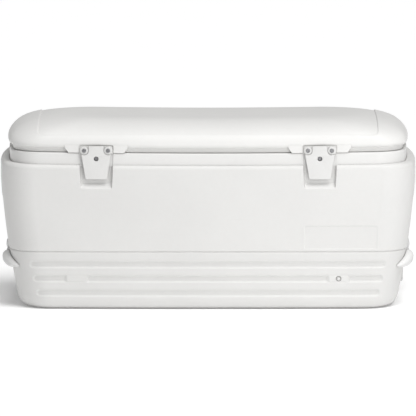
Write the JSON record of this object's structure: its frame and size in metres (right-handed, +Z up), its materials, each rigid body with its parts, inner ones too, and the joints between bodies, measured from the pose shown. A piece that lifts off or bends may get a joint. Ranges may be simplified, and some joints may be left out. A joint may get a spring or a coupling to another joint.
{
  "type": "cooler chest",
  "caption": "Large white insulated cooler chest with a domed hinged lid, pull-down front latches, swing end handles and a drain.",
  "frame": {"origin": "middle of the flat base, on the floor", "axes": "+X along the length, -Y out of the front with the latches, +Z up"},
  "size_m": [0.9858, 0.449, 0.448],
  "materials": {
    "shell_plastic": "satin",
    "liner_plastic": "satin",
    "lid_plastic": "satin",
    "latch_plastic": "satin",
    "handle_plastic": "satin",
    "drain_plastic": "satin",
    "steel": "satin",
    "gasket_rubber": "matte",
    "foam": "matte"
  },
  "bodies": {
    "chest": {"outer_shell": "shell_plastic", "inner_liner": "liner_plastic", "body_foam": "foam", "latch_post_left": "latch_plastic", "latch_post_right": "latch_plastic", "post_screws": "steel", "hinge_leaf_body_left": "latch_plastic", "hinge_leaf_body_middle": "latch_plastic", "hinge_leaf_body_right": "latch_plastic", "hinge_pin_left": "steel", "hinge_pin_middle": "steel", "hinge_pin_right": "steel", "hinge_body_screws": "steel", "handle_bracket_left_front": "handle_plastic", "handle_bracket_left_rear": "handle_plastic", "handle_bracket_right_front": "handle_plastic", "handle_bracket_right_rear": "handle_plastic", "handle_pins": "steel", "handle_screws": "steel", "drain_fitting": "drain_plastic", "drain_gasket": "gasket_rubber", "drain_nut": "drain_plastic", "drain_tether": "drain_plastic", "foam_port_plug": "shell_plastic"},
    "lid": {"lid_shell": "lid_plastic", "lid_liner": "liner_plastic", "lid_foam": "foam", "latch_base_left": "latch_plastic", "latch_base_right": "latch_plastic", "latch_screws": "steel", "hinge_leaf_lid_left": "latch_plastic", "hinge_leaf_lid_middle": "latch_plastic", "hinge_leaf_lid_right": "latch_plastic", "hinge_lid_screws": "steel"},
    "flap_left": {"latch_flap_left": "latch_plastic"},
    "flap_right": {"latch_flap_right": "latch_plastic"},
    "handle_left": {"handle_left": "handle_plastic"},
    "handle_right": {"handle_right": "handle_plastic"},
    "drain_cap": {"drain_cap": "drain_plastic"}
  },
  "joints": [
    {"name": "lid_hinge", "type": "hinge", "parent": "chest", "child": "lid", "pos_m": [0, 0.219, 0.373], "axis": [-1, 0, 0], "range_deg": [0, 105]},
    {"name": "flap_left_hinge", "type": "hinge", "parent": "lid", "child": "flap_left", "pos_m": [-0.262, -0.2195, 0.3885], "axis": [-1, 0, 0], "range_deg": [0, 120]},
    {"name": "flap_right_hinge", "type": "hinge", "parent": "lid", "child": "flap_right", "pos_m": [0.262, -0.2195, 0.3885], "axis": [-1, 0, 0], "range_deg": [0, 120]},
    {"name": "handle_left_swing", "type": "hinge", "parent": "chest", "child": "handle_left", "pos_m": [-0.466, 0, 0.231], "axis": [0, 1, 0], "range_deg": [0, 100]},
    {"name": "handle_right_swing", "type": "hinge", "parent": "chest", "child": "handle_right", "pos_m": [0.466, 0, 0.231], "axis": [0, -1, 0], "range_deg": [0, 100]},
    {"name": "drain_cap_pull", "type": "slide", "parent": "chest", "child": "drain_cap", "axis": [1, 0, 0], "range_m": [0, 0.03]}
  ]
}
